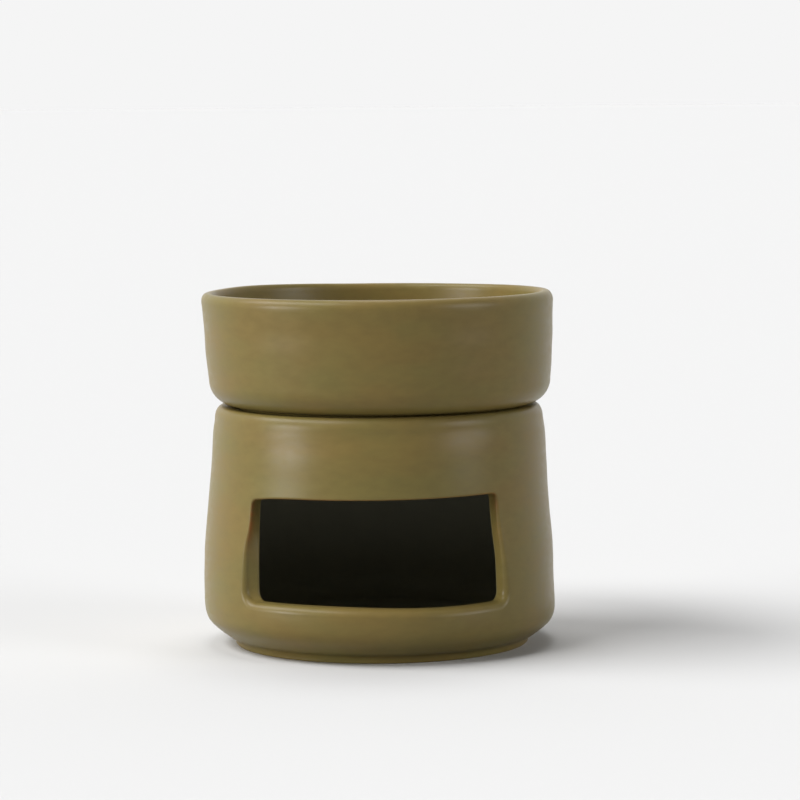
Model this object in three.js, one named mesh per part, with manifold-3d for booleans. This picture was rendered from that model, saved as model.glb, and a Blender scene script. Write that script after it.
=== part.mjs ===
// A ceramic oil burner in two loose pieces: a turned base with a candle window, and an oil dish
// that drops into the base's mouth and lifts off. Millimetres, +Z up, origin at the centre of
// the foot's resting face, window facing -Y.

import * as THREE from 'three';
import { mergeVertices } from 'three/addons/utils/BufferGeometryUtils.js';
import Module from 'manifold-3d';

// Outside radius at the base's belly and the dish's rim, which are flush, and how far in from it
// the foot, the belt, the flank and the neck of the base and the heel of the dish stand
const bellyRadius = 52.8;
const footInset = 9;
const beltInset = 0.42;
const flankInset = 2.1;
const neckInset = 3.5;
const dishHeelInset = 1.55;

// Foot ring under the base
const footHeight = 0.6;
const footRingWidth = 5.2;
const footRecessDepth = 1.6;
const footEdgeRounding = 0.5;
const footCove = 0.3;

// Base wall, from the heel above the foot up to the neck under the dish
const bellyHeight = 13.5;
const heelFlare = 4.3;
const heelLift = 1.8;
const heelFullness = 6.5;
const beltHeight = 30;
const wallThickness = 5;

// Rim of the base, which the dish rests on
const rimHeight = 71.75;
const rimWidth = 5.7;
const shoulderHeight = 4.2;
const shoulderDepth = 2;
const rimEdgeRounding = 0.6;

// Candle chamber inside the base
const floorThickness = 5;
const chamberCornerRounding = 6;

// Candle window, cut radially through the front wall: angles from the front, sill heights from
// the resting face, head depths from the rim
const sillLeftAngle = 47.8;
const sillRightAngle = 45.7;
const headLeftAngle = 47.6;
const headRightAngle = 44;
const sillLeftHeight = 17.4;
const sillRightHeight = 16.9;
const headLeftDepth = 24.45;
const headRightDepth = 22.95;
const sillCornerRounding = 4;
const headCornerRounding = 2;
const sillArris = 2.4;
const jambArris = 1.3;
const headArris = 1;
const insideArris = 0.8;

// Oil dish
const dishHeight = 33.45;
const dishHeelRounding = 7.6;
const dishWallThickness = 3.9;
const dishFloorThickness = 5;
const bowlCornerRounding = 8;

// Roundings of the dish's lip: how far down the wall each reaches, and how far across the lip
const lipOutsideHeight = 2.7;
const lipOutsideDepth = 1.9;
const lipInsideHeight = 1.6;
const lipInsideDepth = 1.1;

// Locating ring under the dish, and its fit in the base
const ringClearance = 1;
const ringDepth = 3.5;
const ringWidth = 4;
const ringEdgeRounding = 0.8;
const seatGap = 0.3;

// Fineness of the turned and cut surfaces
const turnSegments = 80;
const arcSteps = 4;
const edgeSteps = 2;
const heelSteps = 5;
const cornerArcSteps = 6;
const wallSteps = 6;
const chamberSteps = 5;
const outlineStep = 3.2;
const cornerSteps = 4;
const arrisSteps = 3;

// The window's tool: how far round each arris it rolls, how far it then runs on past the wall's
// faces, and how far its flat ends lie from the axis and out past the belly
const arrisSweep = THREE.MathUtils.degToRad(68);
const toolRun = 1.5;
const toolEndGap = 5;

const glazeColor = 0x84764a;
const glazeRoughness = 0.58;

const footRadius = bellyRadius - footInset;
const neckRadius = bellyRadius - neckInset;
const mouthRadius = neckRadius - rimWidth;
const neckHeight = rimHeight - shoulderHeight;
const flankHeight = (beltHeight + neckHeight) / 2;
const chamberFloorHeight = footRecessDepth + floorThickness;
const dishRimRadius = bellyRadius;
const dishHeelRadius = dishRimRadius - dishHeelInset;
const ringRadius = mouthRadius - ringClearance;

const outerWall = new THREE.SplineCurve([
  new THREE.Vector2(bellyRadius, bellyHeight),
  new THREE.Vector2(bellyRadius - beltInset, beltHeight),
  new THREE.Vector2(bellyRadius - flankInset, flankHeight),
  new THREE.Vector2(neckRadius, neckHeight),
]);
const wallStations = outerWall.getPoints(wallSteps);
const widestRadius = Math.max(...wallStations.map((station) => station.x));
const chamberRadius = bellyRadius - wallThickness;
const chamberWall = new THREE.SplineCurve([
  new THREE.Vector2(mouthRadius, neckHeight),
  new THREE.Vector2(chamberRadius - flankInset, flankHeight),
  new THREE.Vector2(chamberRadius - beltInset, beltHeight),
  new THREE.Vector2(chamberRadius, bellyHeight),
]);

const wasm = await Module();
wasm.setup();

// Adds a quarter-round from the profile's end to (radius, height), bending round the corner given
function roundTo(profile, cornerRadius, cornerHeight, radius, height, steps = arcSteps) {
  const start = profile.at(-1);
  const centre = new THREE.Vector2(radius + start.x - cornerRadius, height + start.y - cornerHeight);
  for (let i = 1; i <= steps; i += 1) {
    const angle = (i / steps) * Math.PI / 2;
    profile.push(new THREE.Vector2(
      centre.x + (start.x - centre.x) * Math.cos(angle) + (radius - centre.x) * Math.sin(angle),
      centre.y + (start.y - centre.y) * Math.cos(angle) + (height - centre.y) * Math.sin(angle),
    ));
  }
}

// Turns a profile of (radius, height) points about the Z axis
function turn(profile) {
  const geometry = new THREE.LatheGeometry(profile, turnSegments);
  geometry.rotateX(Math.PI / 2);
  return weld(geometry);
}

// Keeps positions only, joins shared corners and drops the empty triangles left at the axis
function weld(geometry) {
  geometry.deleteAttribute('normal');
  geometry.deleteAttribute('uv');
  const welded = mergeVertices(geometry, 1e-4);
  const corners = welded.getIndex().array;
  const kept = [];
  for (let i = 0; i < corners.length; i += 3) {
    const [a, b, c] = [corners[i], corners[i + 1], corners[i + 2]];
    if (a !== b && b !== c && c !== a) kept.push(a, b, c);
  }
  welded.setIndex(kept);
  return welded;
}

function toSolid(geometry) {
  return new wasm.Manifold(new wasm.Mesh({
    numProp: 3,
    vertProperties: new Float32Array(geometry.getAttribute('position').array),
    triVerts: new Uint32Array(geometry.getIndex().array),
  }));
}

function toGeometry(solid) {
  const mesh = solid.getMesh();
  const geometry = new THREE.BufferGeometry();
  geometry.setAttribute('position', new THREE.BufferAttribute(new Float32Array(mesh.vertProperties), 3));
  geometry.setIndex(new THREE.BufferAttribute(new Uint32Array(mesh.triVerts), 1));
  return geometry;
}

// Outside radius of the base wall at a height that the window reaches
function wallRadiusAt(height) {
  const above = Math.max(1, wallStations.findIndex((station) => station.y >= height));
  const [low, high] = [wallStations[above - 1], wallStations[above]];
  return THREE.MathUtils.mapLinear(height, low.y, high.y, low.x, high.x);
}

function baseProfile() {
  const footInside = footRadius - footRingWidth;
  const heelStart = footRadius + footCove;
  const heelStartHeight = footHeight + footCove;
  const profile = [
    new THREE.Vector2(0, footRecessDepth),
    new THREE.Vector2(footInside - footRecessDepth, footRecessDepth),
    new THREE.Vector2(footInside, 0),
    new THREE.Vector2(footRadius - footEdgeRounding, 0),
  ];
  roundTo(profile, footRadius, 0, footRadius, footEdgeRounding, edgeSteps);
  profile.push(new THREE.Vector2(footRadius, footHeight));
  roundTo(profile, footRadius, heelStartHeight, heelStart, heelStartHeight, edgeSteps);
  const heel = new THREE.CubicBezierCurve(
    new THREE.Vector2(heelStart, heelStartHeight),
    new THREE.Vector2(heelStart + heelFlare, heelStartHeight + heelLift),
    new THREE.Vector2(bellyRadius, bellyHeight - heelFullness),
    new THREE.Vector2(bellyRadius, bellyHeight),
  );
  profile.push(...heel.getPoints(heelSteps).slice(1, -1), ...wallStations);
  roundTo(profile, neckRadius, rimHeight, neckRadius - shoulderDepth, rimHeight);
  profile.push(new THREE.Vector2(mouthRadius + rimEdgeRounding, rimHeight));
  roundTo(profile, mouthRadius, rimHeight, mouthRadius, rimHeight - rimEdgeRounding, edgeSteps);
  profile.push(...chamberWall.getPoints(chamberSteps));
  const corner = Math.min(chamberCornerRounding, bellyHeight - chamberFloorHeight);
  profile.push(new THREE.Vector2(chamberRadius, chamberFloorHeight + corner));
  roundTo(profile, chamberRadius, chamberFloorHeight, chamberRadius - corner, chamberFloorHeight);
  profile.push(new THREE.Vector2(0, chamberFloorHeight));
  return profile;
}

// Window outline unrolled onto the belly: x runs round the wall from the front, y is the height
function windowOutline() {
  const corner = (angle, height, rounding) => ({
    at: new THREE.Vector2(THREE.MathUtils.degToRad(angle) * bellyRadius, height),
    rounding,
  });
  const corners = [
    corner(-sillLeftAngle, sillLeftHeight, sillCornerRounding),
    corner(sillRightAngle, sillRightHeight, sillCornerRounding),
    corner(headRightAngle, rimHeight - headRightDepth, headCornerRounding),
    corner(-headLeftAngle, rimHeight - headLeftDepth, headCornerRounding),
  ];
  const towards = (from, to) => {
    const way = to.at.clone().sub(from.at).setLength(from.rounding);
    return from.at.clone().add(way);
  };
  const outline = [];
  corners.forEach((here, index) => {
    const before = corners.at(index - 1);
    const after = corners[(index + 1) % corners.length];
    const bend = new THREE.QuadraticBezierCurve(towards(here, before), here.at, towards(here, after));
    const edge = new THREE.LineCurve(towards(here, after), towards(after, here));
    const edgeParts = Math.ceil(edge.getLength() / outlineStep);
    outline.push(...bend.getPoints(cornerSteps), ...edge.getPoints(edgeParts).slice(1, -1));
  });
  return outline;
}

// The outline's points with the way that each faces and the arris that the window has there
function windowEdge() {
  const outline = windowOutline();
  return outline.map((at, index) => {
    const before = outline.at(index - 1);
    const after = outline[(index + 1) % outline.length];
    const facing = new THREE.Vector2(after.y - before.y, before.x - after.x).normalize();
    const rolledTo = facing.y < 0 ? sillArris : headArris;
    return { at, facing, arris: THREE.MathUtils.lerp(jambArris, rolledTo, facing.y ** 2) };
  });
}

// The window's tool: the outline swept along radii, belled out at both faces of the wall to leave
// rolled edges, and ended on flat planes inside the chamber and in front of the base
function windowTool() {
  const edge = windowEdge();
  const sweeps = Array.from({ length: arrisSteps + 1 }, (_, step) => (step / arrisSteps) * arrisSweep);
  const stations = [
    { inside: true, sweep: arrisSweep, beyond: toolRun },
    ...sweeps.map((sweep) => ({ inside: true, sweep, beyond: 0 })).reverse(),
    ...sweeps.map((sweep) => ({ inside: false, sweep, beyond: 0 })),
    { inside: false, sweep: arrisSweep, beyond: toolRun },
  ];
  const positions = [];
  const addRing = ({ inside, sweep, beyond }, radiusAt) => {
    for (const { at, facing, arris } of edge) {
      const roll = inside ? insideArris : arris;
      const grown = roll * (1 - Math.cos(sweep)) + beyond * Math.tan(arrisSweep);
      const setBack = roll * (1 - Math.sin(sweep)) - beyond;
      const unrolled = at.clone().addScaledVector(facing, grown);
      const angle = unrolled.x / bellyRadius;
      const radius = radiusAt(angle, unrolled.y, inside ? wallThickness - setBack : setBack);
      positions.push(radius * Math.sin(angle), -radius * Math.cos(angle), unrolled.y);
    }
  };
  addRing(stations[0], (angle) => toolEndGap / Math.cos(angle));
  for (const station of stations) {
    addRing(station, (angle, height, depth) => wallRadiusAt(height) - depth);
  }
  addRing(stations.at(-1), (angle) => (widestRadius + toolEndGap) / Math.cos(angle));

  const count = edge.length;
  const lastRing = positions.length / 3 - count;
  const faces = [];
  for (let ring = 0; ring < lastRing; ring += count) {
    for (let i = 0; i < count; i += 1) {
      const next = (i + 1) % count;
      faces.push(ring + i, ring + next, ring + count + i);
      faces.push(ring + next, ring + count + next, ring + count + i);
    }
  }
  const capFaces = (ring) => {
    const corners = edge.map((_, i) => new THREE.Vector2(
      positions[(ring + i) * 3],
      positions[(ring + i) * 3 + 2],
    ));
    return THREE.ShapeUtils.triangulateShape(corners, []);
  };
  for (const [a, b, c] of capFaces(0)) faces.push(c, b, a);
  for (const [a, b, c] of capFaces(lastRing)) faces.push(lastRing + a, lastRing + b, lastRing + c);

  const geometry = new THREE.BufferGeometry();
  geometry.setAttribute('position', new THREE.Float32BufferAttribute(positions, 3));
  geometry.setIndex(faces);
  return geometry;
}

function baseGeometry() {
  return toGeometry(toSolid(turn(baseProfile())).subtract(toSolid(windowTool())));
}

// The dish has its own frame: height 0 is the flat that rests on the base's rim
function dishProfile() {
  const ringInside = ringRadius - ringWidth;
  const heel = Math.min(dishHeelRounding, dishHeelRadius - ringRadius);
  const bowlTop = dishRimRadius - dishWallThickness;
  const bowlFoot = dishHeelRadius - dishWallThickness;
  const profile = [
    new THREE.Vector2(0, 0),
    new THREE.Vector2(ringInside, 0),
    new THREE.Vector2(ringInside, ringEdgeRounding - ringDepth),
  ];
  roundTo(profile, ringInside, -ringDepth, ringInside + ringEdgeRounding, -ringDepth, edgeSteps);
  profile.push(new THREE.Vector2(ringRadius - ringEdgeRounding, -ringDepth));
  roundTo(profile, ringRadius, -ringDepth, ringRadius, ringEdgeRounding - ringDepth, edgeSteps);
  profile.push(new THREE.Vector2(ringRadius, 0));
  profile.push(new THREE.Vector2(dishHeelRadius - heel, 0));
  roundTo(profile, dishHeelRadius, 0, dishHeelRadius, heel, cornerArcSteps);
  profile.push(new THREE.Vector2(dishRimRadius, dishHeight - lipOutsideHeight));
  roundTo(profile, dishRimRadius, dishHeight, dishRimRadius - lipOutsideDepth, dishHeight);
  profile.push(new THREE.Vector2(bowlTop + lipInsideDepth, dishHeight));
  roundTo(profile, bowlTop, dishHeight, bowlTop, dishHeight - lipInsideHeight);
  profile.push(new THREE.Vector2(bowlFoot, dishFloorThickness + bowlCornerRounding));
  roundTo(
    profile,
    bowlFoot,
    dishFloorThickness,
    bowlFoot - bowlCornerRounding,
    dishFloorThickness,
    cornerArcSteps,
  );
  profile.push(new THREE.Vector2(0, dishFloorThickness));
  return profile;
}

function glazed(name, geometry) {
  geometry.computeVertexNormals();
  const glaze = new THREE.MeshStandardMaterial({
    color: glazeColor,
    roughness: glazeRoughness,
    metalness: 0,
  });
  const mesh = new THREE.Mesh(geometry, glaze);
  mesh.name = name;
  return mesh;
}

const oilBurner = new THREE.Group();

const base = glazed('burner_base', baseGeometry());
oilBurner.add(base);

const dish = glazed('oil_dish', turn(dishProfile()));
dish.position.z = rimHeight + seatGap;
oilBurner.add(dish);

export default oilBurner;
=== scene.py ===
import math

import bmesh
import bpy
import numpy as np
from mathutils import Matrix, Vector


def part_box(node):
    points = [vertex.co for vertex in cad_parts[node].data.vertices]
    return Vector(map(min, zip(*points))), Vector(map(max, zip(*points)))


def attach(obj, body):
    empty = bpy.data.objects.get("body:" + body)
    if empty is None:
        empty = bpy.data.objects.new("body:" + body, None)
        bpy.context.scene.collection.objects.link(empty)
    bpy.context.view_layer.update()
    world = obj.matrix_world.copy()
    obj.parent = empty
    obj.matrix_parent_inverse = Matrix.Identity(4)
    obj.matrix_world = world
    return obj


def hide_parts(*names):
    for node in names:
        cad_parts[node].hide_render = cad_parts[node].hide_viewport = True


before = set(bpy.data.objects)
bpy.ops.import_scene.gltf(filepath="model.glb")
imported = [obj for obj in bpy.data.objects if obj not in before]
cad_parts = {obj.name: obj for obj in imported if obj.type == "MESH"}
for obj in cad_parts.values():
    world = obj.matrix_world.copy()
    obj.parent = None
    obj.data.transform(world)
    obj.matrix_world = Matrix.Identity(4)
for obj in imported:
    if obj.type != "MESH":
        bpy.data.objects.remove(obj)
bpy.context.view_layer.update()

# A ceramic oil burner: a turned base with a candle window, and an oil dish that seats on its rim.
# Metres, +Z up, the window facing -Y. Angles go round the axis from the front towards +X.

MM = 0.001

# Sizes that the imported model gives
_, base_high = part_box("burner_base")
dish_low, dish_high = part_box("oil_dish")
BELLY_RADIUS = base_high.x
RIM_HEIGHT = base_high.z
DISH_TOP = dish_high.z

# Foot and heel of the base
FOOT_RADIUS = BELLY_RADIUS - 8.75 * MM
FOOT_RING_WIDTH = 5.2 * MM
FOOT_RECESS = 1.6 * MM
FOOT_ROUNDING = 0.5 * MM
FOOT_HEIGHT = 0.7 * MM
FOOT_COVE = 1.9 * MM
HEEL_FLARE = 6 * MM
HEEL_LIFT = 4.4 * MM
HEEL_FULLNESS = 5.95 * MM

# Wall of the base, from the belly up to the neck, as how far in from the belly it stands
BELLY_HEIGHT = 13.5 * MM
SHOULDER_HEIGHT = 4.2 * MM
SHOULDER_DEPTH = 2.2 * MM
NECK_HEIGHT = RIM_HEIGHT - SHOULDER_HEIGHT
WALL = 5 * MM
WALL_INSETS = (
    (BELLY_HEIGHT, 0),
    (21 * MM, 0.17 * MM),
    (30 * MM, 0.42 * MM),
    (40 * MM, 1.32 * MM),
    (49.4 * MM, 2.07 * MM),
    (57 * MM, 2.57 * MM),
    (64.6 * MM, 3.04 * MM),
    (NECK_HEIGHT, 3.5 * MM),
)

# Rim of the base and the candle chamber under it
RIM_WIDTH = 5.7 * MM
RIM_THICKNESS = 3.4 * MM
RIM_EDGE = 0.6 * MM
CHAMBER_FLOOR = 6.6 * MM
CHAMBER_CORNER = 6 * MM

# Oil dish: heights are from the seat, which is a hair over the base's rim
SEAT_HEIGHT = RIM_HEIGHT + 0.3 * MM
DISH_HEIGHT = DISH_TOP - SEAT_HEIGHT
DISH_WALL = 3.9 * MM
DISH_FLOOR = 5 * MM
DISH_HEEL_ROUNDING = 7.6 * MM
LIP_HEIGHT = 2.7 * MM
LIP_DEPTH = 1.9 * MM
LIP_INSIDE_HEIGHT = 2.2 * MM
LIP_INSIDE_DEPTH = 1.2 * MM
DISH_INSETS = (
    (DISH_HEEL_ROUNDING, 1.55 * MM),
    (12 * MM, 1.12 * MM),
    (19 * MM, 0.7 * MM),
    (24.5 * MM, 0.5 * MM),
    (27.5 * MM, 0.34 * MM),
    (DISH_HEIGHT - LIP_HEIGHT, 0.1 * MM),
)
BOWL_CORNER = 8 * MM
RING_DEPTH = SEAT_HEIGHT - dish_low.z
RING_CLEARANCE = 1 * MM
RING_WIDTH = 4 * MM
RING_ROUNDING = 0.8 * MM

# Window's edge, anticlockwise from the sill's left: degrees, height, rounding of outline, of arris
WINDOW_OUTSIDE = (
    (-48.1, 17.2 * MM, 4.2 * MM, 2.1 * MM),
    (-16, 17.5 * MM, 15 * MM, 2.4 * MM),
    (20, 16.5 * MM, 15 * MM, 2.4 * MM),
    (45.6, 16.8 * MM, 4 * MM, 2 * MM),
    (44.5, 27.7 * MM, 8 * MM, 1.3 * MM),
    (43.1, 37.7 * MM, 8 * MM, 1.1 * MM),
    (42.5, 48.7 * MM, 1.9 * MM, 0.7 * MM),
    (14, 48.4 * MM, 15 * MM, 0.6 * MM),
    (-34.7, 48.1 * MM, 10 * MM, 0.6 * MM),
    (-46.4, 47.1 * MM, 2 * MM, 0.6 * MM),
    (-46.5, 39.1 * MM, 3 * MM, 0.45 * MM),
    (-47.8, 33.5 * MM, 3 * MM, 1 * MM),
)
WINDOW_INSIDE = (
    (-46, 17.3 * MM, 3.6 * MM, 0.8 * MM),
    (-16, 17.5 * MM, 15 * MM, 0.8 * MM),
    (20, 16.5 * MM, 15 * MM, 0.8 * MM),
    (46, 16.9 * MM, 3.6 * MM, 0.8 * MM),
    (45.6, 27.7 * MM, 8 * MM, 0.8 * MM),
    (44.5, 37.7 * MM, 8 * MM, 0.8 * MM),
    (43.9, 48.7 * MM, 2 * MM, 0.8 * MM),
    (14, 48.4 * MM, 15 * MM, 0.8 * MM),
    (-34.7, 48.1 * MM, 10 * MM, 0.8 * MM),
    (-47.7, 47.3 * MM, 2 * MM, 0.8 * MM),
    (-47.4, 39.1 * MM, 3 * MM, 0.8 * MM),
    (-46.8, 33.5 * MM, 3 * MM, 0.8 * MM),
)

# Which of those rows are the window's four corners
WINDOW_CORNERS = (0, 3, 6, 9)

# How long a rounding of the outline may be, as a share of the side that it starts on
LONGEST_ROUNDING = 0.45

# The glaze breaks fully on an arris of the first rounding, and not at all from the second
SHARP_ARRIS = 0.3 * MM
BLUNT_ARRIS = 1.3 * MM

# Patch of the wall that the window's rings fill: its edge is part of the wall's own grid
PATCH_ANGLE = 60
PATCH_LOW = BELLY_HEIGHT
PATCH_HIGH = 56.5 * MM

# Marks that throwing leaves on the outside of the base's wall
RIDGE_DEPTH = 0.012 * MM
RIDGE_PITCH = 9 * MM
RIDGE_CREST = 50 * MM
WAVE_DEPTH = 0.06 * MM
OUT_OF_ROUND = 0.05 * MM
HOLLOW_DEPTH = 0.38 * MM
HOLLOW_HEIGHT = 65.5 * MM
HOLLOW_TILT = 4 * MM
HOLLOW_REACH = 3.4 * MM
SWELLING_DEPTH = 0.16 * MM
SWELLING_HEIGHT = 56 * MM
SWELLING_REACH = 6 * MM

# And on the outside of the dish
DISH_RIDGE_DEPTH = 0.03 * MM
DISH_RIDGE_PITCH = 9.5 * MM
DISH_WAVE_DEPTH = 0.04 * MM
DISH_OUT_OF_ROUND = 0.06 * MM

# How far off their axis the thrown pieces stand, towards +X, by height
BASE_LEAN = (
    (0, 0.5 * MM),
    (3 * MM, 0.55 * MM),
    (5.5 * MM, 0.5 * MM),
    (8.5 * MM, 0.15 * MM),
    (12.5 * MM, -0.12 * MM),
    (18 * MM, -0.3 * MM),
    (30 * MM, -0.22 * MM),
    (45 * MM, -0.12 * MM),
    (54 * MM, 0.06 * MM),
    (62 * MM, 0.08 * MM),
    (RIM_HEIGHT, 0.05 * MM),
)
DISH_LEAN = (
    (SEAT_HEIGHT, 0.68 * MM),
    (76 * MM, 0.54 * MM),
    (80 * MM, 0.52 * MM),
    (86 * MM, 0.35 * MM),
    (94 * MM, 0.23 * MM),
    (100 * MM, 0.02 * MM),
    (DISH_TOP, -0.28 * MM),
)

# How far the dish's lip rises over level, by degrees round from the front
LIP_WARP = (
    (-180, -0.2 * MM),
    (-172, -0.2 * MM),
    (-156, 0.04 * MM),
    (-128, 0.36 * MM),
    (-104, 0.06 * MM),
    (-60, 0.2 * MM),
    (0, 0.3 * MM),
    (60, 0.26 * MM),
    (104, 0.2 * MM),
    (120, 0.12 * MM),
    (150, -0.16 * MM),
    (172, -0.2 * MM),
    (180, -0.2 * MM),
)
WARP_START = SEAT_HEIGHT + 10 * MM

# Fineness of the meshes
COLUMNS = 360
STEP = 1.1 * MM
PATCH_RINGS = 14
ARRIS_RINGS = 8
JAMB_RINGS = 6
PATCH_CROWDING = 1.6
CORNER_CROWDING = 0.45
CORNER_POINTS = 33
WELD = 0.002 * MM


def smooth(stations):
    """A smooth function through (place, value) stations, level beyond the first and the last."""
    places, values = np.array(stations, float).T
    slopes = np.gradient(values, places)

    def value(place):
        place = np.clip(place, places[0], places[-1])
        low = np.clip(np.searchsorted(places, place) - 1, 0, len(places) - 2)
        span = places[low + 1] - places[low]
        t = (place - places[low]) / span
        return (
            (1 + 2 * t) * (1 - t) ** 2 * values[low]
            + t * (1 - t) ** 2 * span * slopes[low]
            + t**2 * (3 - 2 * t) * values[low + 1]
            + t**2 * (t - 1) * span * slopes[low + 1]
        )

    return value


def fade(value, start, end):
    """0 before start, 1 after end, and smooth between them."""
    t = np.clip((value - start) / (end - start), 0, 1)
    return t * t * (3 - 2 * t)


def hump(value):
    """1 at 0, falling away smoothly on both sides."""
    return np.exp(-(value**2))


def draw(start, *strokes):
    """Points along strokes that follow on from start, as (radius, height) rows. A stroke is an end,
    a corner that is rounded on the way to an end, or a cubic curve's two handles and its end."""
    points = [np.array([start], float)]
    for stroke in strokes:
        here = points[-1][-1]
        way = np.array([here, *stroke])
        length = np.linalg.norm(np.diff(way, axis=0), axis=1).sum()
        count = max(2 if len(stroke) == 1 else 7, math.ceil(length / STEP))
        t = np.linspace(0, 1, count + 1)[1:, None]
        if len(stroke) == 1:
            points.append(here + t * (way[1] - here))
        elif len(stroke) == 2:
            centre = here + way[2] - way[1]
            turn = t * math.pi / 2
            points.append(centre + (here - centre) * np.cos(turn) + (way[2] - centre) * np.sin(turn))
        else:
            points.append(
                (1 - t) ** 3 * way[0]
                + 3 * t * (1 - t) ** 2 * way[1]
                + 3 * t**2 * (1 - t) * way[2]
                + t**3 * way[3]
            )
    return np.concatenate(points)


inset = smooth(WALL_INSETS)
dish_inset = smooth(DISH_INSETS)
base_lean = smooth(BASE_LEAN)
dish_lean = smooth(DISH_LEAN)
warp = smooth(LIP_WARP)


def throwing(angle, height):
    """The shallow marks that the potter's fingers leave on the outside of the base's wall: a spiral
    ridge, slow waves, and, front and back, a hollow below the neck over a slight swelling."""
    spiral = angle / (2 * math.pi)
    facing = np.cos(angle) ** 2
    middle = HOLLOW_HEIGHT + HOLLOW_TILT * np.sin(angle)
    ridges = RIDGE_DEPTH * np.cos(2 * math.pi * ((height - RIDGE_CREST) / RIDGE_PITCH - spiral))
    waves = WAVE_DEPTH * np.cos(3 * angle + height / RIDGE_PITCH) + OUT_OF_ROUND * np.cos(2 * angle - 1)
    hollow = HOLLOW_DEPTH * hump((height - middle) / HOLLOW_REACH) * facing
    swelling = SWELLING_DEPTH * hump((height - SWELLING_HEIGHT) / SWELLING_REACH) * facing
    above_heel = fade(height, 4 * MM, 12 * MM)
    below_rim = 1 - fade(height, RIM_HEIGHT - 4 * MM, RIM_HEIGHT - 1 * MM)
    return (ridges + waves + swelling - hollow) * above_heel * below_rim


def outside(angle, height):
    return BELLY_RADIUS - inset(height) + throwing(angle, height)


def inside(angle, height):
    return BELLY_RADIUS - WALL - inset(height) + 0 * angle


def ring_angles():
    return np.linspace(-math.pi, math.pi, COLUMNS, endpoint=False)


def turned(profile, marks=None):
    """A grid of (angle, radius, height) points from a profile turned through a full circle."""
    angle, radius = np.meshgrid(ring_angles(), profile[:, 0])
    height = np.repeat(profile[:, 1:2], COLUMNS, axis=1)
    if marks:
        radius = radius + marks(angle, height)
    return np.stack([angle, radius, height], axis=-1)


def quads(rows, columns, closed):
    """Corner numbers of the faces of a grid, joined end to end where it is closed."""
    grid = np.arange(rows * columns).reshape(rows, columns)
    if closed:
        grid = np.hstack([grid, grid[:, :1]])
    return np.stack([grid[:-1, :-1], grid[:-1, 1:], grid[1:, 1:], grid[1:, :-1]], axis=-1).reshape(-1, 4)


def settle(points, lean):
    """Places (angle, radius, height) points, leaning and warped as the thrown pieces are."""
    angle, radius, height = points.T
    x = radius * np.sin(angle) + lean(height)
    rise = warp(np.degrees(angle)) * fade(height, WARP_START, DISH_TOP)
    return np.stack([x, -radius * np.cos(angle), height + rise], axis=-1)


def make_piece(name, grids, lean, material):
    """One closed mesh from grids that meet along their edges. A grid is its points, whether it closes on
    itself, how much its glaze breaks there, and how much it is the chamber's inside, made matt and painted
    a paler grey for the faint light in its shade, both from 0 to 1."""
    points, faces, breaks, painted_grey_and_matt_shares = [], [], [], []
    count = 0
    for grid, closed, broken, painted_grey_and_matt in grids:
        rows, columns = grid.shape[:2]
        faces.append(quads(rows, columns, closed) + count)
        points.append(grid.reshape(-1, 3))
        breaks.append(np.broadcast_to(broken, (rows, columns)).reshape(-1))
        painted_grey_and_matt_shares.append(np.broadcast_to(painted_grey_and_matt, (rows, columns)).reshape(-1))
        count += rows * columns
    mesh = bpy.data.meshes.new(name)
    mesh.from_pydata(settle(np.concatenate(points), lean).tolist(), [], np.concatenate(faces).tolist())
    for label, values in (("glaze_break", breaks), ("chamber_inside", painted_grey_and_matt_shares)):
        mesh.attributes.new(label, "FLOAT", "POINT").data.foreach_set("value", np.concatenate(values))
    work = bmesh.new()
    work.from_mesh(mesh)
    bmesh.ops.remove_doubles(work, verts=work.verts, dist=WELD)
    bmesh.ops.dissolve_degenerate(work, edges=work.edges, dist=WELD)
    bmesh.ops.recalc_face_normals(work, faces=work.faces)
    work.to_mesh(mesh)
    work.free()
    mesh.polygons.foreach_set("use_smooth", [True] * len(mesh.polygons))
    mesh.materials.append(material)
    piece = bpy.data.objects.new(name, mesh)
    bpy.context.scene.collection.objects.link(piece)
    return piece


def closed_line(stations):
    """A closed line through rounded corners, as (along the belly, height, arris) rows, its length
    so far at each row, and the length at which each corner lies."""
    corners = np.array([(math.radians(a) * BELLY_RADIUS, h, arris) for a, h, _, arris in stations])
    rounding = [r for _, _, r, _ in stations]
    line, middles = [], []
    for i, here in enumerate(corners):
        before, after = corners[i - 1], corners[(i + 1) % len(corners)]
        start, end = [
            here + (other - here) * min(rounding[i] / np.linalg.norm((other - here)[:2]), LONGEST_ROUNDING)
            for other in (before, after)
        ]
        t = np.linspace(0, 1, CORNER_POINTS)[:, None]
        line.append((1 - t) ** 2 * start + 2 * t * (1 - t) * here + t**2 * end)
        middles.append(sum(len(part) for part in line) - (CORNER_POINTS + 1) // 2)
    line = np.concatenate(line + [line[0][:1]])
    so_far = np.concatenate([[0], np.cumsum(np.linalg.norm(np.diff(line[:, :2], axis=0), axis=1))])
    return line, so_far, so_far[middles]


def window_ring(stations, side_counts):
    """The window's edge at as many points a side as the patch has, starting at the sill's left:
    (along, height, arris) rows and the way out of the opening at each."""
    line, so_far, middles = closed_line(stations)
    total = so_far[-1]
    places = []
    for side, count in enumerate(side_counts):
        start = middles[WINDOW_CORNERS[side]]
        end = middles[WINDOW_CORNERS[side + 1]] if side < 3 else middles[WINDOW_CORNERS[0]] + total
        share = np.arange(count) / count
        share = share - CORNER_CROWDING * np.sin(2 * math.pi * share) / (2 * math.pi)
        places.append(start + (end - start) * share)
    places = np.concatenate(places)

    def at(place):
        return np.stack([np.interp(place % total, so_far, column) for column in line.T], axis=-1)

    reach = 0.3 * MM
    along = (at(places + reach) - at(places - reach))[:, :2]
    along /= np.linalg.norm(along, axis=1)[:, None]
    return at(places), np.stack([along[:, 1], -along[:, 0]], axis=-1)


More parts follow.
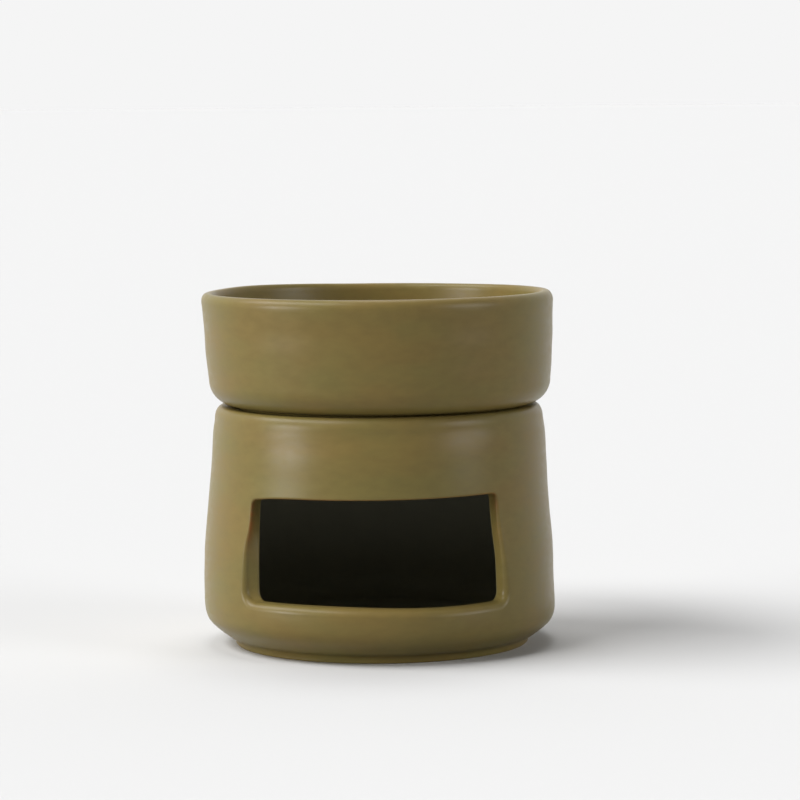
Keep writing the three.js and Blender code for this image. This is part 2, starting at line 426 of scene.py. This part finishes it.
def window_sleeve():
    """The patch round the window outside, the rolled arris, the jambs, the inner arris and the patch
    inside, as one grid of rings, with how much the glaze breaks and how much it takes the chamber's matt
    finish and painted grey for the light in its shade."""
    low, high = math.radians(-PATCH_ANGLE), math.radians(PATCH_ANGLE)
    columns = ring_angles()
    across = columns[(columns > low - 1e-6) & (columns < high + 1e-6)]
    up = wall_heights()
    rectangle = np.concatenate([
        np.stack([across[:-1], np.full(len(across) - 1, up[0])], axis=-1),
        np.stack([np.full(len(up) - 1, across[-1]), up[:-1]], axis=-1),
        np.stack([across[:0:-1], np.full(len(across) - 1, up[-1])], axis=-1),
        np.stack([np.full(len(up) - 1, across[0]), up[:0:-1]], axis=-1),
    ])
    side_counts = [len(across) - 1, len(up) - 1] * 2

    def half(stations, wall, into_wall):
        """Rings from the patch's edge in to the window, round its arris and to the jamb, and how
        much the glaze breaks along each."""
        edge, way_out = window_ring(stations, side_counts)
        arris = edge[:, 2]
        sharpness = 1 - fade(arris, SHARP_ARRIS, BLUNT_ARRIS)
        made = []
        for t in np.linspace(0, 1, PATCH_RINGS + 1):
            share = 1 - (1 - t) ** PATCH_CROWDING
            flat = edge[:, :2] + way_out * arris[:, None]
            flat = rectangle * (1 - share) + flat / (BELLY_RADIUS, 1) * share
            made.append((flat, 0 * arris, 0 * arris))
        for turn in np.linspace(0, math.pi / 2, ARRIS_RINGS + 1)[1:]:
            flat = (edge[:, :2] + way_out * (arris * (1 - np.sin(turn)))[:, None]) / (BELLY_RADIUS, 1)
            made.append((flat, arris * (1 - np.cos(turn)), sharpness * np.sin(turn) ** 2))
        rings = [
            np.stack([flat[:, 0], wall(flat[:, 0], flat[:, 1]) + into_wall * depth, flat[:, 1]], axis=-1)
            for flat, depth, _ in made
        ]
        return rings, [broken for _, _, broken in made]

    outer_rings, breaks = half(WINDOW_OUTSIDE, outside, -1)
    inner_rings = half(WINDOW_INSIDE, inside, 1)[0][::-1]
    jamb = [
        outer_rings[-1] * (1 - t) + inner_rings[0] * t
        for t in np.linspace(0, 1, JAMB_RINGS + 1)[1:-1]
    ]
    sleeve = np.stack(outer_rings + jamb + inner_rings)
    past = (np.arange(len(sleeve)) - len(outer_rings) + 1)[:, None]
    breaks += [breaks[-1]] * (len(sleeve) - len(breaks))
    worn = np.stack(breaks) * (1 - np.clip(past / JAMB_RINGS, 0, 1)) ** 3
    # Past the jamb the chamber's matt finish and painted grey, for the faint light in its shade, come in
    return sleeve, worn, fade(past, JAMB_RINGS, JAMB_RINGS + ARRIS_RINGS + 2)


def wall_heights():
    """Heights of the wall's rows across the patch."""
    return np.linspace(PATCH_LOW, PATCH_HIGH, math.ceil((PATCH_HIGH - PATCH_LOW) / STEP) + 1)


def wall_band(wall):
    """The wall round the back, from the patch's one edge to the other."""
    reach = math.radians(PATCH_ANGLE)
    columns = ring_angles()
    right, left = columns[columns > reach - 1e-6], columns[columns < 1e-6 - reach]
    behind = np.concatenate([right, left + 2 * math.pi])
    angle, height = np.meshgrid(behind, wall_heights())
    return np.stack([angle, wall(angle, height), height], axis=-1)


def outline(radius_at, first, last):
    """A wall's outline between two heights, without its throwing marks, as (radius, height) rows."""
    count = math.ceil(abs(last - first) / STEP)
    height = np.linspace(first, last, count + 1)
    return np.stack([radius_at(height), height], axis=-1)


def make_base(material):
    neck = BELLY_RADIUS - inset(NECK_HEIGHT)
    mouth = neck - RIM_WIDTH
    foot_inside = FOOT_RADIUS - FOOT_RING_WIDTH
    heel_start = (FOOT_RADIUS + FOOT_COVE, FOOT_HEIGHT + FOOT_COVE)
    underside = draw(
        (0, FOOT_RECESS),
        [(foot_inside - FOOT_RECESS, FOOT_RECESS)],
        [(foot_inside, 0)],
        [(FOOT_RADIUS - FOOT_ROUNDING, 0)],
        [(FOOT_RADIUS, 0), (FOOT_RADIUS, FOOT_ROUNDING)],
        [(FOOT_RADIUS, FOOT_HEIGHT)],
        [(FOOT_RADIUS, heel_start[1]), heel_start],
        [
            (heel_start[0] + HEEL_FLARE, heel_start[1] + HEEL_LIFT),
            (BELLY_RADIUS, BELLY_HEIGHT - HEEL_FULLNESS),
            (BELLY_RADIUS, BELLY_HEIGHT),
        ],
    )
    upper_outside = np.concatenate([
        outline(lambda height: BELLY_RADIUS - inset(height), PATCH_HIGH, NECK_HEIGHT),
        draw(
            (neck, NECK_HEIGHT),
            [(neck, RIM_HEIGHT), (neck - SHOULDER_DEPTH, RIM_HEIGHT)],
            [(mouth + RIM_EDGE, RIM_HEIGHT)],
        )[1:],
    ])
    throat_height = RIM_HEIGHT - RIM_THICKNESS
    throat = inside(0, throat_height)
    upper_inside = np.concatenate([
        draw(
            (mouth + RIM_EDGE, RIM_HEIGHT),
            [(mouth, RIM_HEIGHT), (mouth, RIM_HEIGHT - RIM_EDGE)],
            [(mouth, throat_height), (throat, throat_height), (throat, throat_height - RIM_EDGE)],
        ),
        outline(lambda height: inside(0, height), throat_height - 2 * RIM_EDGE, PATCH_HIGH),
    ])
    # The chamber's matt finish and painted grey, for the faint light in its shade, reach up under the rim
    under_rim = fade(RIM_HEIGHT - upper_inside[:, 1:], 0, 2 * RIM_THICKNESS)
    chamber = BELLY_RADIUS - WALL
    lower_inside = draw(
        (chamber, BELLY_HEIGHT),
        [(chamber, CHAMBER_FLOOR + CHAMBER_CORNER)],
        [(chamber, CHAMBER_FLOOR), (chamber - CHAMBER_CORNER, CHAMBER_FLOOR)],
        [(0, CHAMBER_FLOOR)],
    )
    sleeve, sleeve_breaks, sleeve_painted_grey_and_matt = window_sleeve()
    return make_piece("base_glazed", [
        (turned(underside, throwing), True, 0, 0),
        (wall_band(outside), False, 0, 0),
        (turned(upper_outside, throwing), True, 0, 0),
        (turned(upper_inside), True, 0, under_rim),
        (wall_band(inside), False, 0, 1),
        (turned(lower_inside), True, 0, 1),
        (sleeve, True, sleeve_breaks, sleeve_painted_grey_and_matt),
    ], base_lean, material)


def dish_throwing(angle, height):
    """The ridges on the dish's outside, and its slow out-of-round."""
    above = height - SEAT_HEIGHT
    spiral = angle / (2 * math.pi)
    ridges = DISH_RIDGE_DEPTH * np.cos(2 * math.pi * (above / DISH_RIDGE_PITCH - spiral))
    waves = DISH_WAVE_DEPTH * np.cos(3 * angle - above / (8 * MM))
    oval = DISH_OUT_OF_ROUND * np.cos(2 * angle + 0.6)
    above_heel = fade(above, 2 * MM, 9 * MM)
    below_lip = 1 - fade(above, DISH_HEIGHT - 3 * MM, DISH_HEIGHT)
    return (ridges + waves + oval) * above_heel * below_lip


def dish_outside(height):
    return BELLY_RADIUS - dish_inset(height - SEAT_HEIGHT)


def make_dish(material):
    rim_radius = BELLY_RADIUS - dish_inset(DISH_HEIGHT)
    heel_radius = BELLY_RADIUS - dish_inset(DISH_HEEL_ROUNDING)
    ring_outside = BELLY_RADIUS - inset(NECK_HEIGHT) - RIM_WIDTH - RING_CLEARANCE
    ring_inside = ring_outside - RING_WIDTH
    seat, top, ring_foot = SEAT_HEIGHT, DISH_TOP, SEAT_HEIGHT - RING_DEPTH
    outer = np.concatenate([
        draw(
            (0, seat),
            [(ring_inside, seat)],
            [(ring_inside, ring_foot + RING_ROUNDING)],
            [(ring_inside, ring_foot), (ring_inside + RING_ROUNDING, ring_foot)],
            [(ring_outside - RING_ROUNDING, ring_foot)],
            [(ring_outside, ring_foot), (ring_outside, ring_foot + RING_ROUNDING)],
            [(ring_outside, seat)],
            [(heel_radius - DISH_HEEL_ROUNDING, seat)],
            [(heel_radius, seat), (heel_radius, seat + DISH_HEEL_ROUNDING)],
        ),
        outline(dish_outside, seat + DISH_HEEL_ROUNDING, top - LIP_HEIGHT)[1:],
        draw((rim_radius, top - LIP_HEIGHT), [(rim_radius, top), (rim_radius - LIP_DEPTH, top)])[1:],
    ])
    lip_inside = rim_radius - DISH_WALL
    bowl_foot = heel_radius - DISH_WALL
    inner = draw(
        (rim_radius - LIP_DEPTH, top),
        [(lip_inside + LIP_INSIDE_DEPTH, top)],
        [(lip_inside, top), (lip_inside, top - LIP_INSIDE_HEIGHT)],
        [(bowl_foot, seat + DISH_FLOOR + BOWL_CORNER)],
        [(bowl_foot, seat + DISH_FLOOR), (bowl_foot - BOWL_CORNER, seat + DISH_FLOOR)],
        [(0, seat + DISH_FLOOR)],
    )
    return make_piece("dish_glazed", [
        (turned(outer, dish_throwing), True, 0, 0),
        (turned(inner), True, 0, 0),
    ], dish_lean, material)


def add(tree, kind, **settings):
    """A node with its settings: a name of an input socket sets or links it, anything else is the
    node's own property."""
    node = tree.nodes.new(kind)
    for key, value in settings.items():
        if hasattr(node, key):
            setattr(node, key, value)
            continue
        socket = next(s for s in node.inputs if s.name.replace(" ", "_") == key and s.enabled)
        if isinstance(value, bpy.types.NodeSocket):
            tree.links.new(value, socket)
        else:
            socket.default_value = value
    return node


def mixed(tree, factor, first, second, data_type="RGBA"):
    """The output of a Mix node between two colours or numbers."""
    node = tree.nodes.new("ShaderNodeMix")
    node.data_type = data_type
    inputs = [s for s in node.inputs if s.enabled]
    for socket, value in zip(inputs, (factor, first, second)):
        if isinstance(value, bpy.types.NodeSocket):
            tree.links.new(value, socket)
        else:
            socket.default_value = value
    return next(s for s in node.outputs if s.enabled)


def calculated(tree, operation, *values):
    """The output of a Math node."""
    node = tree.nodes.new("ShaderNodeMath")
    node.operation = operation
    for socket, value in zip(node.inputs, values):
        if isinstance(value, bpy.types.NodeSocket):
            tree.links.new(value, socket)
        else:
            socket.default_value = value
    return node.outputs["Value"]


def ranged(tree, value, low, high, to_low, to_high):
    """value carried from one range to another, held at both ends."""
    node = add(
        tree,
        "ShaderNodeMapRange",
        Value=value,
        From_Min=low,
        From_Max=high,
        To_Min=to_low,
        To_Max=to_high,
    )
    return node.outputs["Result"]


def linear(red, green, blue):
    """A colour as it shows on a screen, from 0 to 255, as the linear one that a shader takes."""
    shares = [c / 255 for c in (red, green, blue)]
    return tuple(c / 12.92 if c <= 0.04045 else ((c + 0.055) / 1.055) ** 2.4 for c in shares) + (1,)


# The glaze's colours, and its mottling, gloss and bump
OLIVE = linear(121, 106, 59)
BROWN_OLIVE = linear(123, 103, 57)
GREEN_OLIVE = linear(117, 107, 60)
RUST = linear(150, 92, 42)
# Painted light: a paler grey painted on the chamber's inside, for the faint grey light in its shade
PAINTED_CHAMBER_GREY = linear(148, 147, 132)
BRUSHING = (1, 1, 2.2)
CLOUD_SCALE = 38
MOTTLE_SCALE = 230
GRAIN_SCALE = 1500
SHADES = (0.955, 1.045)
GLAZE_ROUGHNESS = (0.3, 0.38)
DULL_ROUGHNESS = 0.7
GLAZE_SPECULAR = 0.2


def make_glaze(name, seed):
    """Satin olive glaze: clouded between a browner and a greener olive, finely mottled, and worn through
    to rust where it breaks over an edge. Inside the chamber it is matt and painted a paler grey, which is
    painted light: it stands in for the faint grey light in the chamber's shade."""
    material = bpy.data.materials.new(name)
    material.use_nodes = True
    tree = material.node_tree
    tree.nodes.clear()
    place = add(tree, "ShaderNodeTexCoord").outputs["Object"]
    brushed = add(tree, "ShaderNodeVectorMath", operation="MULTIPLY_ADD")
    tree.links.new(place, brushed.inputs[0])
    brushed.inputs[1].default_value = BRUSHING
    brushed.inputs[2].default_value = (seed, 2 * seed, -seed)
    where = brushed.outputs["Vector"]

    def noise(scale, detail):
        return add(tree, "ShaderNodeTexNoise", Vector=where, Scale=scale, Detail=detail).outputs["Fac"]

    clouds = noise(CLOUD_SCALE, 2)
    mottle = noise(MOTTLE_SCALE, 3)
    grain = noise(GRAIN_SCALE, 2)
    colour = mixed(tree, ranged(tree, clouds, 0.35, 0.65, 0, 1), BROWN_OLIVE, GREEN_OLIVE)
    colour = mixed(tree, 0.4, colour, OLIVE)
    shade = ranged(tree, mottle, 0.3, 0.7, *SHADES)
    tone = add(tree, "ShaderNodeHueSaturation", Color=colour, Value=shade)
    thin = add(tree, "ShaderNodeAttribute", attribute_name="glaze_break").outputs["Fac"]
    worn = calculated(tree, "MULTIPLY", thin, ranged(tree, mottle, 0.35, 0.6, 0.4, 1))
    final = mixed(tree, worn, tone.outputs["Color"], RUST)
    # The chamber's inside is made matt and painted a paler grey, for the faint light in its shade
    painted_grey_and_matt = add(tree, "ShaderNodeAttribute", attribute_name="chamber_inside").outputs["Fac"]
    final = mixed(tree, painted_grey_and_matt, final, PAINTED_CHAMBER_GREY)
    satin = ranged(tree, mottle, 0.3, 0.7, *GLAZE_ROUGHNESS)
    rough = mixed(tree, painted_grey_and_matt, satin, DULL_ROUGHNESS, "FLOAT")
    fine = mixed(tree, 0.5, mottle, grain, "FLOAT")
    bump = add(tree, "ShaderNodeBump", Strength=0.045, Distance=0.1 * MM, Height=fine)
    shader = add(
        tree,
        "ShaderNodeBsdfPrincipled",
        Base_Color=final,
        Roughness=rough,
        Specular_IOR_Level=GLAZE_SPECULAR,
        Normal=bump.outputs["Normal"],
    )
    add(tree, "ShaderNodeOutputMaterial", Surface=shader.outputs["BSDF"])
    return material


# Backdrop and floor, as shown and as they light the object
BACKDROP = linear(245, 245, 245)
FLOOR_PAINT = 0.38
FLOOR_SHOWN = 0.715
FLOOR_REACH = 400
BACKDROP_LIGHT = 0.75
BACKDROP_EDGE = (0.2, 0.7)

# The photograph's view: place in metres, tilt up from straight down and roll in degrees
LENS = 150.585
CAMERA_PLACE = (0.0065, -1.0017, 0.16102)
CAMERA_TILT = 84.9653
CAMERA_ROLL = -0.487


def seen_rays(tree):
    """1 on the rays that show the background: the camera's, and those that gloss or glass sends on."""
    path = add(tree, "ShaderNodeLightPath")
    seen = calculated(tree, "MAXIMUM", path.outputs["Is Camera Ray"], path.outputs["Is Glossy Ray"])
    return calculated(tree, "MAXIMUM", seen, path.outputs["Is Transmission Ray"])


def make_floor():
    """A wide pale floor, whose far edge meets the backdrop. It shows paler than the paint that throws
    light back on the object."""
    mesh = bpy.data.meshes.new("floor")
    r = FLOOR_REACH
    mesh.from_pydata([(-r, -r, 0), (r, -r, 0), (r, r, 0), (-r, r, 0)], [], [(0, 1, 2, 3)])
    floor = bpy.data.objects.new("floor", mesh)
    bpy.context.scene.collection.objects.link(floor)
    material = bpy.data.materials.new("floor_paint")
    material.use_nodes = True
    tree = material.node_tree
    tree.nodes.clear()
    colour = mixed(tree, seen_rays(tree), (FLOOR_PAINT,) * 3 + (1,), (FLOOR_SHOWN,) * 3 + (1,))
    paint = add(tree, "ShaderNodeBsdfDiffuse", Color=colour)
    add(tree, "ShaderNodeOutputMaterial", Surface=paint.outputs["BSDF"])
    mesh.materials.append(material)


def make_sun(name, azimuth, elevation, strength, spread):
    """A lamp as far as the sun: azimuth is from the camera's side towards +X, all in degrees."""
    lamp = bpy.data.lights.new(name, "SUN")
    lamp.energy = strength
    lamp.angle = math.radians(spread)
    sun = bpy.data.objects.new(name, lamp)
    sun.rotation_euler = (math.radians(90 - elevation), 0, math.radians(azimuth))
    bpy.context.scene.collection.objects.link(sun)


def make_world():
    """The flat pale backdrop, which lights the object from the far side, where it stands."""
    world = bpy.data.worlds.new("studio")
    bpy.context.scene.world = world
    world.use_nodes = True
    tree = world.node_tree
    tree.nodes.clear()
    direction = add(tree, "ShaderNodeTexCoord").outputs["Generated"]
    depth = add(tree, "ShaderNodeSeparateXYZ", Vector=direction).outputs["Y"]
    behind = ranged(tree, depth, *BACKDROP_EDGE, 0, BACKDROP_LIGHT)
    level = mixed(tree, seen_rays(tree), behind, BACKDROP[0], "FLOAT")
    light = add(tree, "ShaderNodeBackground", Strength=level)
    light.inputs["Color"].default_value = (1, 1, 1, 1)
    add(tree, "ShaderNodeOutputWorld", Surface=light.outputs["Background"])


def make_camera():
    """The photograph's view: a long lens about a metre away, looking down by five degrees and
    held a hair off level."""
    lens = bpy.data.cameras.new("camera")
    lens.lens = LENS
    lens.sensor_width = 36
    lens.clip_end = 2 * FLOOR_REACH
    camera = bpy.data.objects.new("camera", lens)
    camera.location = CAMERA_PLACE
    tilt = Matrix.Rotation(math.radians(CAMERA_TILT), 4, "X")
    roll = Matrix.Rotation(math.radians(CAMERA_ROLL), 4, "Z")
    camera.rotation_euler = (tilt @ roll).to_euler()
    bpy.context.scene.collection.objects.link(camera)
    bpy.context.scene.camera = camera


base = make_base(make_glaze("base_glaze", 3.1))
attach(base, "base")
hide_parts("burner_base")

dish = make_dish(make_glaze("dish_glaze", 7.7))
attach(dish, "dish")
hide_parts("oil_dish")

make_floor()
make_world()
make_sun("low_left", -66, 7, 2.0, 24)
make_sun("high_left", -90, 45, 1.9, 32)
make_sun("glint", -50, 52, 1.05, 22)
make_sun("right", 64, 16, 1.05, 30)
make_sun("top", 180, 76, 0.8, 26)
make_camera()
bpy.context.scene.view_settings.view_transform = "Standard"
